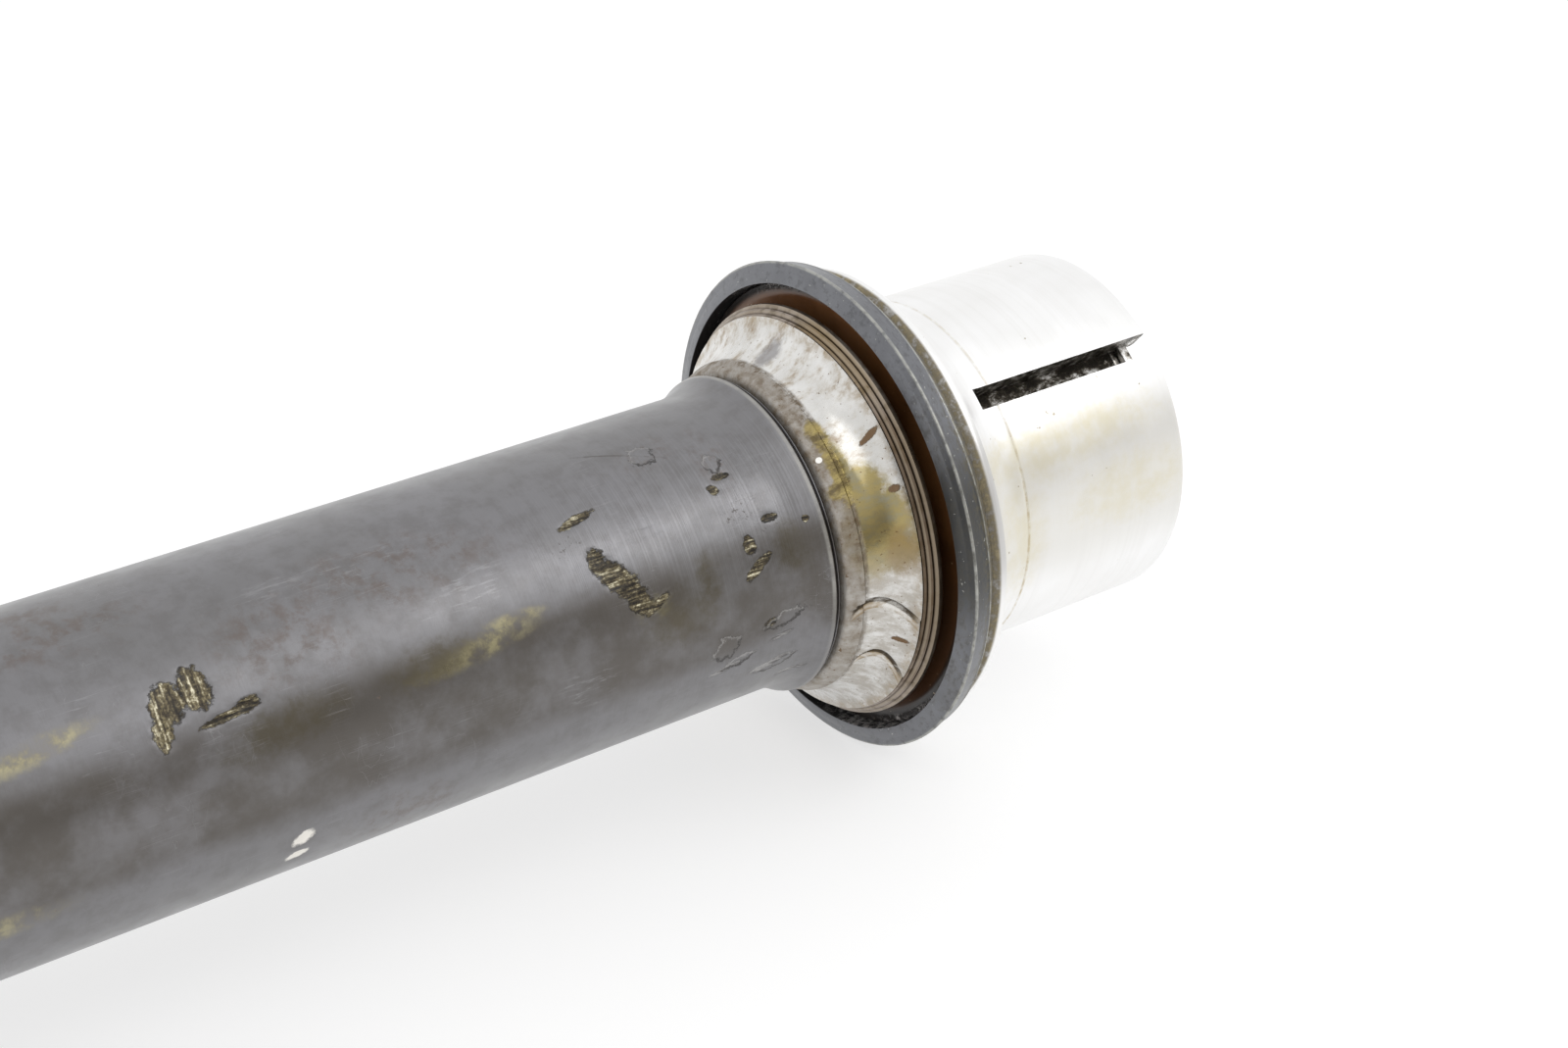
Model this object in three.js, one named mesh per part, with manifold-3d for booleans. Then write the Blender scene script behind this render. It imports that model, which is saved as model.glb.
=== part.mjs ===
// Flanged, slotted ball bushing on a shaft that carries a bearing inner ring.
// Millimetres, +Z up. The axis lies along X and the slotted end points to +X.
import * as THREE from 'three';
import { mergeVertices } from 'three/addons/utils/BufferGeometryUtils.js';
import Module from 'manifold-3d';

const wasm = await Module();
wasm.setup();

// Driving dimensions. Places along the axis count from the seal ring's front face.
const SIDES = 40; // flat sides of every turned piece
const FIT_GAP = 0.05; // between pieces pressed or laid together
const RUN_GAP = 0.1; // between pieces that move on each other

const SHAFT_END = -150;
const SHAFT_RADIUS = 15.5;
const SHAFT_BORE_RADIUS = 9;
const SHAFT_CHAMFER = 1;
const SHOULDER_X = -8.4;
const SHOULDER_RADIUS = 16.8;
const FLARE_LENGTH = 4;
const SEAT_RADIUS = 15;
const SEAT_END = -0.1;
const SOCKET_DEPTH = 28;

const RACE_SMALL_RADIUS = 17.4;
const RACE_LARGE_RADIUS = 21.1;
const RACE_END = -2.05;
const TRACK_RADIUS = 6;
const TRACK_STEPS = 6;

const RIM_RADIUS = 22.04;
const RIM_X = -0.7;
const THRUST_WASHER_END = -0.2;

const SEAL_RADIUS = 26.2;
const SEAL_CREST_X = 0.7;
const SEAL_LINE_X = 2.9;
const SEAL_LINE_RADIUS = 25.5;
const SEAL_BACK_X = 3.95;
const SEAL_BACK_RADIUS = 24.6;
const SEAL_MOUTH_RADIUS = 24;
const SEAL_DISC_THICKNESS = 1;
const LIP_DISC_THICKNESS = 1.2;
const LIP_TIP_X = 0.2;
const LIP_THICKNESS = 0.8;
const GARTER_RADIUS = 0.4;
const GARTER_X = 0.95;
const GARTER_RING_RADIUS = 12.2;
const GARTER_SIDES = 6;

const SLEEVE_FRONT = 3.05;
const SLEEVE_END = 34.4;
const SLEEVE_RADIUS = 18.95;
const SLEEVE_BORE_RADIUS = 16;
const SLEEVE_CHAMFER = 0.4;
const SPIGOT_RADIUS = 17;
const FLANGE_RADIUS = 24.4;
const FLANGE_FRONT = 4;
const FLANGE_EDGE = 6;
const FLANGE_BEVEL = 1;
const FLANGE_DROP = 0.2;
const FILLET_END = 12.8;
const FILLET_STEPS = 6;
const FRONT_WALL_END = 5;
const FRONT_HOLE_RADIUS = 11.4;
const SLOT_WIDTH = 2.35;
const SLOT_START = 11.2;
const SLOT_ANGLE = THREE.MathUtils.degToRad(40.4); // from the top towards -Y

const SPINDLE_RADIUS = 10;
const SPINDLE_END = 33.5;
const SPINDLE_CHAMFER = 0.8;
const CENTRE_HOLE_RADIUS = 2;

const BALL_RADIUS = 1.5;
const BALL_ROWS = 4;
const BALLS_PER_ROW = 8;
const ROW_PITCH = 3.8;
const CAGE_LENGTH = 16;
const CAGE_CENTRE = 20.1;
const CAGE_WALL = 1.8;
const POCKET_GAP = 0.15;
const POCKET_SIDES = 8;

const STOP_THICKNESS = 0.7;
const STOP_BORE_RADIUS = 11.4;
const LINER_END = 31.2;
const CLIP_THICKNESS = 1;
const CLIP_GROOVE_DEPTH = 0.9;
const CLIP_BAND = 2;
const CLIP_LUG_RADIUS = 1.7;
const CLIP_EYE_RADIUS = 0.7;
const CLIP_LUG_SIDES = 16;
const CLIP_HALF_OPENING = THREE.MathUtils.degToRad(24);
const CLIP_STEPS = 28;

// Worked out from the above.
const FLAT_SHARE = Math.cos(Math.PI / SIDES); // a flat's distance over a corner's
const BALL_CIRCLE_RADIUS = SPINDLE_RADIUS + BALL_RADIUS + RUN_GAP / 2;
const RACEWAY_RADIUS = (SPINDLE_RADIUS + 2 * BALL_RADIUS + RUN_GAP) / FLAT_SHARE;
const FRONT_STOP_END = FRONT_WALL_END + FIT_GAP + STOP_THICKNESS;
const REAR_STOP_END = LINER_END + FIT_GAP + STOP_THICKNESS;
const GROOVE_START = REAR_STOP_END + FIT_GAP;
const GROOVE_END = GROOVE_START + CLIP_THICKNESS + 2 * FIT_GAP;
const GROOVE_RADIUS = SLEEVE_BORE_RADIUS + CLIP_GROOVE_DEPTH;
const MIDDLE_X = (SHAFT_END + SLEEVE_END) / 2;

const FINISHES = {
  darkSteel: { color: 0x45443f, roughness: 0.42, metalness: 0.9 },
  raceSteel: { color: 0xb9b4a6, roughness: 0.25, metalness: 1 },
  rimSteel: { color: 0xa08a78, roughness: 0.4, metalness: 0.9 },
  blackRubber: { color: 0x25282b, roughness: 0.5, metalness: 0 },
  brownRubber: { color: 0x4a2208, roughness: 0.3, metalness: 0 },
  brightSteel: { color: 0xd9d8d2, roughness: 0.3, metalness: 1 },
  groundSteel: { color: 0xc4c6c8, roughness: 0.15, metalness: 1 },
  springSteel: { color: 0x8b8c8c, roughness: 0.35, metalness: 1 },
  cageBrass: { color: 0xb08a3e, roughness: 0.35, metalness: 1 },
};

const part = new THREE.Group();

function add(name, geometry, finish) {
  const mesh = new THREE.Mesh(geometry, new THREE.MeshStandardMaterial(FINISHES[finish]));
  mesh.name = name;
  mesh.position.x = -MIDDLE_X;
  part.add(mesh);
}

// A closed ring whose section is given as [place along the axis, radius] corners.
function turned(section) {
  const points = section.map(([x, radius]) => new THREE.Vector2(radius, x));
  const loop = THREE.ShapeUtils.isClockWise(points) ? points.reverse() : points;
  const geometry = new THREE.LatheGeometry([...loop, loop[0]], SIDES);
  return geometry.rotateZ(-Math.PI / 2);
}

// A solid round piece whose outline runs from the axis and back to it.
function turnedSolid(outline) {
  const points = outline.map(([x, radius]) => new THREE.Vector2(radius, x));
  return new THREE.LatheGeometry(points, SIDES).rotateZ(-Math.PI / 2);
}

function ringBetween(start, end, inner, outer) {
  return turned([[start, inner], [end, inner], [end, outer], [start, outer]]);
}

function toManifold(geometry) {
  const bare = geometry.clone();
  bare.deleteAttribute('normal');
  bare.deleteAttribute('uv');
  const merged = mergeVertices(bare, 1e-4);
  return new wasm.Manifold(new wasm.Mesh({
    numProp: 3,
    vertProperties: new Float32Array(merged.attributes.position.array),
    triVerts: new Uint32Array(merged.index.array),
  }));
}

function toGeometry(manifold) {
  const mesh = manifold.getMesh();
  const geometry = new THREE.BufferGeometry();
  geometry.setAttribute('position', new THREE.BufferAttribute(mesh.vertProperties, mesh.numProp));
  geometry.setIndex(new THREE.BufferAttribute(mesh.triVerts, 1));
  geometry.computeVertexNormals();
  return geometry;
}

// Points along a hollow arc of the given radius, from one corner of a section to another.
function hollowArc([x0, r0], [x1, r1], radius, steps) {
  const chord = Math.hypot(x1 - x0, r1 - r0);
  const lift = Math.sqrt(radius ** 2 - (chord / 2) ** 2);
  const centreX = (x0 + x1) / 2 - (lift * (r1 - r0)) / chord;
  const centreR = (r0 + r1) / 2 + (lift * (x1 - x0)) / chord;
  const from = Math.atan2(r0 - centreR, x0 - centreX);
  const turn = Math.atan2(r1 - centreR, x1 - centreX) - from;
  return Array.from({ length: steps + 1 }, (_, i) => {
    const angle = from + (turn * i) / steps;
    return [centreX + radius * Math.cos(angle), centreR + radius * Math.sin(angle)];
  });
}

// Shaft side: the hollow shaft, its bearing inner ring and the ground spindle.
function shaftTube() {
  const flareStart = SHOULDER_X - FLARE_LENGTH;
  const socketEnd = SEAT_END - SOCKET_DEPTH;
  return turned([
    [SHAFT_END, SHAFT_BORE_RADIUS],
    [SHAFT_END, SHAFT_RADIUS - SHAFT_CHAMFER],
    [SHAFT_END + SHAFT_CHAMFER, SHAFT_RADIUS],
    [flareStart, SHAFT_RADIUS],
    [flareStart + FLARE_LENGTH / 2, SHAFT_RADIUS + (SHOULDER_RADIUS - SHAFT_RADIUS) / 4],
    [SHOULDER_X, SHOULDER_RADIUS],
    [SHOULDER_X, SEAT_RADIUS],
    [SEAT_END, SEAT_RADIUS],
    [SEAT_END, SPINDLE_RADIUS + FIT_GAP],
    [socketEnd, SPINDLE_RADIUS + FIT_GAP],
    [socketEnd, SHAFT_BORE_RADIUS],
  ]);
}

function bearingInnerRing() {
  const start = SHOULDER_X + FIT_GAP;
  const bore = SEAT_RADIUS + FIT_GAP;
  const small = [start, RACE_SMALL_RADIUS];
  const large = [RACE_END, RACE_LARGE_RADIUS];
  const track = hollowArc(small, large, TRACK_RADIUS, TRACK_STEPS);
  return turned([[start, bore], ...track, [RACE_END, bore]]);
}

function thrustWasher() {
  const start = RACE_END + RUN_GAP;
  const bore = SEAT_RADIUS + RUN_GAP;
  return turned([
    [start, bore],
    [start, RACE_LARGE_RADIUS],
    [RIM_X, RIM_RADIUS],
    [THRUST_WASHER_END, RIM_RADIUS],
    [THRUST_WASHER_END, bore],
  ]);
}

function guideSpindle() {
  return turnedSolid([
    [SEAT_END - SOCKET_DEPTH + FIT_GAP, 0],
    [SEAT_END - SOCKET_DEPTH + FIT_GAP, SPINDLE_RADIUS],
    [SPINDLE_END - SPINDLE_CHAMFER, SPINDLE_RADIUS],
    [SPINDLE_END, SPINDLE_RADIUS - SPINDLE_CHAMFER],
    [SPINDLE_END, CENTRE_HOLE_RADIUS],
    [SPINDLE_END - CENTRE_HOLE_RADIUS, 0],
  ]);
}

// Seal: a dished ring, the elastomer disc bonded in it and the spring round its lip.
function sealRing() {
  const discFront = SEAL_BACK_X - SEAL_DISC_THICKNESS;
  return turned([
    [0, SEAL_MOUTH_RADIUS],
    [SEAL_CREST_X, SEAL_RADIUS],
    [SEAL_LINE_X, SEAL_LINE_RADIUS],
    [SEAL_BACK_X, SEAL_BACK_RADIUS],
    [SEAL_BACK_X, SPIGOT_RADIUS + FIT_GAP],
    [discFront, SPIGOT_RADIUS + FIT_GAP],
    [discFront, SEAL_MOUTH_RADIUS],
  ]);
}

function sealLip() {
  const back = SEAL_BACK_X - SEAL_DISC_THICKNESS - FIT_GAP;
  const front = back - LIP_DISC_THICKNESS;
  const tip = SPINDLE_RADIUS + 2 * RUN_GAP;
  const waist = tip + 2 * LIP_THICKNESS;
  return turned([
    [back, SEAL_MOUTH_RADIUS - FIT_GAP],
    [front, SEAL_MOUTH_RADIUS - FIT_GAP],
    [front, waist],
    [LIP_TIP_X, tip + LIP_THICKNESS],
    [LIP_TIP_X, tip],
    [LIP_TIP_X + LIP_THICKNESS, tip],
    [back, waist],
  ]);
}

function garterSpring() {
  const centre = new THREE.Vector2(GARTER_X, GARTER_RING_RADIUS);
  return turned(circlePoints(centre, GARTER_RADIUS, GARTER_SIDES).map(({ x, y }) => [x, y]));
}

// Bushing side: the flanged sleeve with its slot, and what it holds.
function slotCutter() {
  const length = 2 * (SLEEVE_END - SLOT_START);
  const depth = 2 * (SLEEVE_RADIUS - SLEEVE_BORE_RADIUS + 1);
  const cutter = new THREE.BoxGeometry(length, SLOT_WIDTH, depth);
  cutter.translate(SLOT_START + length / 2, 0, SLEEVE_RADIUS);
  return cutter.rotateX(SLOT_ANGLE);
}

function outerSleeve() {
  const flangeBack = [FLANGE_EDGE, FLANGE_RADIUS - FLANGE_DROP];
  const filletRadius = FILLET_END - FLANGE_EDGE;
  const fillet = hollowArc(flangeBack, [FILLET_END, SLEEVE_RADIUS], filletRadius, FILLET_STEPS);
  const section = [
    [SLEEVE_FRONT, FRONT_HOLE_RADIUS],
    [SLEEVE_FRONT, SPIGOT_RADIUS],
    [FLANGE_FRONT, SPIGOT_RADIUS],
    [FLANGE_FRONT, FLANGE_RADIUS - FLANGE_BEVEL],
    [FLANGE_FRONT + FLANGE_BEVEL, FLANGE_RADIUS],
    ...fillet,
    [SLEEVE_END - SLEEVE_CHAMFER, SLEEVE_RADIUS],
    [SLEEVE_END, SLEEVE_RADIUS - SLEEVE_CHAMFER],
    [SLEEVE_END, SLEEVE_BORE_RADIUS],
    [GROOVE_END, SLEEVE_BORE_RADIUS],
    [GROOVE_END, GROOVE_RADIUS],
    [GROOVE_START, GROOVE_RADIUS],
    [GROOVE_START, SLEEVE_BORE_RADIUS],
    [FRONT_WALL_END, SLEEVE_BORE_RADIUS],
    [FRONT_WALL_END, FRONT_HOLE_RADIUS],
  ];
  return toGeometry(toManifold(turned(section)).subtract(toManifold(slotCutter())));
}

function racewayLiner() {
  const outer = SLEEVE_BORE_RADIUS - FIT_GAP;
  return ringBetween(FRONT_STOP_END + FIT_GAP, LINER_END, RACEWAY_RADIUS, outer);
}

function stopWasher(end) {
  return ringBetween(end - STOP_THICKNESS, end, STOP_BORE_RADIUS, SLEEVE_BORE_RADIUS - FIT_GAP);
}

function extruded(points) {
  return new THREE.ExtrudeGeometry(new THREE.Shape(points), { depth: CLIP_THICKNESS, bevelEnabled: false });
}

function circlePoints(centre, radius, count) {
  return Array.from({ length: count }, (_, i) => {
    const angle = (2 * Math.PI * i) / count;
    return new THREE.Vector2(centre.x + radius * Math.cos(angle), centre.y + radius * Math.sin(angle));
  });
}

// An open spring ring with an eye at each end, lying in the sleeve's groove.
function retainingRing() {
  const outer = (GROOVE_RADIUS - FIT_GAP) * FLAT_SHARE;
  const inner = outer - CLIP_BAND;
  const sweep = 2 * (Math.PI - CLIP_HALF_OPENING);
  const arc = (radius) => Array.from({ length: CLIP_STEPS + 1 }, (_, i) => {
    const angle = CLIP_HALF_OPENING + (sweep * i) / CLIP_STEPS;
    return new THREE.Vector2(radius * Math.cos(angle), radius * Math.sin(angle));
  });
  let ring = toManifold(extruded([...arc(outer), ...arc(inner).reverse()]));
  [CLIP_HALF_OPENING, -CLIP_HALF_OPENING].forEach((angle) => {
    const centre = new THREE.Vector2(inner * Math.cos(angle), inner * Math.sin(angle));
    const lug = extruded(circlePoints(centre, CLIP_LUG_RADIUS, CLIP_LUG_SIDES));
    const eye = extruded(circlePoints(centre, CLIP_EYE_RADIUS, CLIP_LUG_SIDES));
    eye.scale(1, 1, 3).translate(0, 0, -CLIP_THICKNESS);
    ring = ring.add(toManifold(lug)).subtract(toManifold(eye));
  });
  return toGeometry(ring).rotateY(Math.PI / 2).translate(GROOVE_START + FIT_GAP, 0, 0);
}

// Rolling set: a cage that holds every ball in a pocket of its own.
function ballPlaces() {
  const places = [];
  for (let row = 0; row < BALL_ROWS; row += 1) {
    const x = CAGE_CENTRE + (row - (BALL_ROWS - 1) / 2) * ROW_PITCH;
    for (let i = 0; i < BALLS_PER_ROW; i += 1) {
      const angle = ((i + (row % 2) / 2) * 2 * Math.PI) / BALLS_PER_ROW;
      places.push({ x, angle, name: `ball_row${row + 1}_${i + 1}` });
    }
  }
  return places;
}

function ballCage() {
  const start = CAGE_CENTRE - CAGE_LENGTH / 2;
  const inner = BALL_CIRCLE_RADIUS - CAGE_WALL / 2;
  let cage = toManifold(ringBetween(start, start + CAGE_LENGTH, inner, inner + CAGE_WALL));
  ballPlaces().forEach(({ x, angle }) => {
    const radius = BALL_RADIUS + POCKET_GAP;
    const pocket = new THREE.CylinderGeometry(radius, radius, 3 * CAGE_WALL, POCKET_SIDES);
    pocket.translate(x, BALL_CIRCLE_RADIUS, 0).rotateX(angle);
    cage = cage.subtract(toManifold(pocket));
  });
  return toGeometry(cage);
}

function ball({ x, angle }) {
  const geometry = new THREE.IcosahedronGeometry(BALL_RADIUS, 1);
  return geometry.translate(x, BALL_CIRCLE_RADIUS, 0).rotateX(angle);
}

add('shaft_tube', shaftTube(), 'darkSteel');
add('bearing_inner_ring', bearingInnerRing(), 'raceSteel');
add('thrust_washer', thrustWasher(), 'rimSteel');
add('guide_spindle', guideSpindle(), 'groundSteel');
add('seal_ring', sealRing(), 'blackRubber');
add('seal_lip', sealLip(), 'brownRubber');
add('garter_spring', garterSpring(), 'springSteel');
add('outer_sleeve', outerSleeve(), 'brightSteel');
add('raceway_liner', racewayLiner(), 'groundSteel');
add('front_stop_washer', stopWasher(FRONT_STOP_END), 'groundSteel');
add('rear_stop_washer', stopWasher(REAR_STOP_END), 'groundSteel');
add('retaining_ring', retainingRing(), 'springSteel');
add('ball_cage', ballCage(), 'cageBrass');
ballPlaces().forEach((place) => add(place.name, ball(place), 'groundSteel'));

export default part;
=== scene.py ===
"""Looks of the flanged, slotted ball bushing on its shaft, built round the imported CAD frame."""

import math

import bmesh
import bpy
import numpy as np
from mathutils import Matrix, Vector, noise


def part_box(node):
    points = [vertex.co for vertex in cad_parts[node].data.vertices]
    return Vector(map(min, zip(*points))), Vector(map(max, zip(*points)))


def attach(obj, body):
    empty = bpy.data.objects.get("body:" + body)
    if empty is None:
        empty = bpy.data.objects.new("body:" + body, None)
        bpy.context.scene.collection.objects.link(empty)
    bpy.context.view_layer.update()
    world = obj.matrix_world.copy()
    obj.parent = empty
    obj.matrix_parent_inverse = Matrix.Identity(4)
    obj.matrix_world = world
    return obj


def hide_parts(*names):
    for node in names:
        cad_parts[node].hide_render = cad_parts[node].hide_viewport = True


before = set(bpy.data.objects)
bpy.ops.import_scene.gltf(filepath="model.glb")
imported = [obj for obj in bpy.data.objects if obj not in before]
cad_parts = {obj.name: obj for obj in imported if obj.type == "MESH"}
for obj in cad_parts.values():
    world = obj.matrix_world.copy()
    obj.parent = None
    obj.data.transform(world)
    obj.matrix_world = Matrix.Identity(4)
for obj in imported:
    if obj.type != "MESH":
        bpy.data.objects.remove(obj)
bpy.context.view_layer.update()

MM = 0.001
SEAL_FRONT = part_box("seal_ring")[0].x  # places along the axis count from here, as in the CAD
FLOOR_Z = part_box("seal_ring")[0].z


def span(node):
    """Where a CAD node starts and ends along the axis, in millimetres."""
    low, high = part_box(node)
    return (low.x - SEAL_FRONT) / MM, (high.x - SEAL_FRONT) / MM


# Sizes in millimetres: the ends and the outer radii come from the frame, the rest are the CAD's own.
SHAFT_END = span("shaft_tube")[0]
SLEEVE_END = span("outer_sleeve")[1]
SPINDLE_START, SPINDLE_END = span("guide_spindle")
SEAL_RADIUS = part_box("seal_ring")[1].z / MM
SPINDLE_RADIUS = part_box("guide_spindle")[1].z / MM
SHAFT_RADIUS = 15.5
SHAFT_BORE = 9.0
SLEEVE_RADIUS = 18.95
SLEEVE_BORE = 16.0
LINER_BORE = 13.14
STOP_BORE = 11.4
GAP = 0.05  # between pieces that meet, so that their faces never lie in one plane
SLOT_ANGLE = 40.4  # degrees from the top towards the viewer's side
SLOT_START = 11.2
SLOT_WIDTH = 2.35

CORNER_SPLIT = math.radians(32)  # faces that meet at more than this keep a sharp edge


# ---- shapes

def place(x, radius, angle):
    """A point by its place along the axis, radius and angle from the top, in millimetres and radians."""
    return (SEAL_FRONT + x * MM, -radius * math.sin(angle) * MM, radius * math.cos(angle) * MM)


def arc(start, end, radius, steps):
    """Points on a hollow arc from one corner of a section to another."""
    (x0, r0), (x1, r1) = start, end
    chord = math.hypot(x1 - x0, r1 - r0)
    lift = math.sqrt(radius**2 - (chord / 2) ** 2)
    cx = (x0 + x1) / 2 - lift * (r1 - r0) / chord
    cr = (r0 + r1) / 2 + lift * (x1 - x0) / chord
    first = math.atan2(r0 - cr, x0 - cx)
    turn = math.atan2(r1 - cr, x1 - cx) - first
    angles = [first + turn * i / steps for i in range(steps + 1)]
    return [(cx + radius * math.cos(a), cr + radius * math.sin(a)) for a in angles]


def stations(start, end, step):
    """Places from start to end at about the given step, both ends included."""
    count = max(1, round(abs(end - start) / step))
    return [start + (end - start) * i / count for i in range(count + 1)]


def eased(section, radius, steps=3):
    """The closed section with each sharp corner rounded to about the given radius."""
    points = [Vector(p) for p in section]
    result = []
    for i, corner in enumerate(points):
        before, after = points[i - 1], points[(i + 1) % len(points)]
        back, ahead = before - corner, after - corner
        if back.length < 1e-6 or ahead.length < 1e-6 or back.angle(ahead) > math.radians(150):
            result.append(corner)
            continue
        a = corner + back.normalized() * min(radius, back.length * 0.45)
        b = corner + ahead.normalized() * min(radius, ahead.length * 0.45)
        for k in range(steps + 1):
            t = k / steps
            result.append(a * (1 - t) ** 2 + corner * (2 * t * (1 - t)) + b * t**2)
    return [tuple(p) for p in result]


def add_object(name, data):
    made = bpy.data.objects.new(name, data)
    bpy.context.scene.collection.objects.link(made)
    return made


def mesh_from(bm, name):
    """Turns all faces outwards and keeps them as a mesh."""
    bmesh.ops.recalc_face_normals(bm, faces=bm.faces)
    mesh = bpy.data.meshes.new(name)
    bm.to_mesh(mesh)
    bm.free()
    return mesh


def finish_mesh(name, mesh, material, body, node):
    """Shades the mesh smooth up to its corners and makes it a piece that stands for a CAD node."""
    mesh.materials.clear()
    for each in material if isinstance(material, list) else [material]:
        mesh.materials.append(each)
    mesh.shade_smooth()
    mesh.set_sharp_from_angle(angle=CORNER_SPLIT)
    piece = add_object(name, mesh)
    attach(piece, body)
    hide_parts(node)
    return piece


def lathe(name, section, sides, closed=True):
    """A turned mesh. A section that isn't closed starts and ends on the axis."""
    bm = bmesh.new()
    rings = []
    for x, radius in section:
        if radius < 1e-6:
            rings.append([bm.verts.new(place(x, 0, 0))])
            continue
        rings.append([bm.verts.new(place(x, radius, 2 * math.pi * i / sides)) for i in range(sides)])
    pairs = list(zip(rings, rings[1:] + rings[:1])) if closed else list(zip(rings, rings[1:]))
    for low, high in pairs:
        for i in range(sides):
            j = (i + 1) % sides
            corners = [low[i % len(low)], low[j % len(low)], high[j % len(high)], high[i % len(high)]]
            bm.faces.new(list(dict.fromkeys(corners)))
    return mesh_from(bm, name)


def coordinates(mesh):
    """Each vertex's position, a row each."""
    flat = np.zeros(len(mesh.vertices) * 3, np.float32)
    mesh.vertices.foreach_get("co", flat)
    return flat.reshape(-1, 3)


def polar(mesh):
    """Each vertex's place along the axis, angle from the top and radius."""
    x, y, z = coordinates(mesh).T.astype(float) / MM
    return x - SEAL_FRONT / MM, np.arctan2(-y, z), np.hypot(y, z)


def sink(mesh, marks, surface_radius, lowest=0.0):
    """Presses gouges into a turned mesh. A mark is (x, degrees, half length, half width, tilt, depth)."""
    x, angle, radius = polar(mesh)
    depth = np.zeros_like(x)
    outside = radius > lowest
    for mark_x, degrees, half_length, half_width, tilt, mark_depth in marks:
        turn = math.radians(tilt)
        dy = (angle - math.radians(degrees)) * surface_radius
        along = ((x - mark_x) * math.cos(turn) + dy * math.sin(turn)) / half_length
        across = (dy * math.cos(turn) - (x - mark_x) * math.sin(turn)) / half_width
        reach = np.hypot(across, along)
        for i in np.nonzero((reach < 1.5) & outside)[0]:
            ragged = noise.noise(Vector((x[i] * 0.9, angle[i] * surface_radius * 0.9, mark_x)))
            ridge = noise.noise(Vector((x[i] * 0.5, angle[i] * surface_radius * 2.6, mark_x + 9)))
            rim = min(1.0, max(0.0, (1.0 + 0.55 * ragged - reach[i]) * 4.0))
            depth[i] = max(depth[i], mark_depth * rim * (0.75 + 0.6 * ridge))
    press(mesh, depth)


def press(mesh, depth):
    """Moves each vertex towards the axis by its depth in millimetres."""
    co = coordinates(mesh)
    radius = np.maximum(np.hypot(co[:, 1], co[:, 2]) / MM, 1e-3)
    co[:, 1:] *= (1 - depth / radius)[:, None]
    mesh.vertices.foreach_set("co", co.ravel())
    mesh.update()


def parabola(ends):
    """The factors a, b, c of the curve a + b x + c x x through three (x, degrees) points, in radians."""
    xs = [x for x, _ in ends]
    c, b, a = np.polyfit(xs, [math.radians(d) for _, d in ends], 2)
    return float(a), float(b), float(c)


def fold(mesh, creases, surface_radius):
    """Dents with one sharp edge and one gentle side. A crease is its path's three points and its depth."""
    x, angle, radius = polar(mesh)
    depth = np.zeros_like(x)
    for ends, crease_depth in creases:
        a, b, c = parabola(ends)
        below = (angle - (a + b * x + c * x * x)) * surface_radius
        side = np.where(below > 0, np.exp(-np.abs(below) / 1.3), np.exp(-np.abs(below) / 0.12))
        low, high = ends[0][0], ends[-1][0]
        inside = np.clip((x - low) / 0.8 + 0.5, 0, 1) * np.clip((high - x) / 0.8 + 0.5, 0, 1)
        depth = np.maximum(depth, crease_depth * side * inside)
    press(mesh, depth)


# ---- materials

class Number:
    """A number that a material's nodes work out. It can be added to, taken away and multiplied."""

    def __init__(self, paint, socket):
        self.paint = paint
        self.socket = socket

    def __add__(self, other):
        return self.paint.math("ADD", self, other)

    def __sub__(self, other):
        return self.paint.math("SUBTRACT", self, other)

    def __rsub__(self, other):
        return self.paint.math("SUBTRACT", other, self)

    def __mul__(self, other):
        return self.paint.math("MULTIPLY", self, other)


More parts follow.
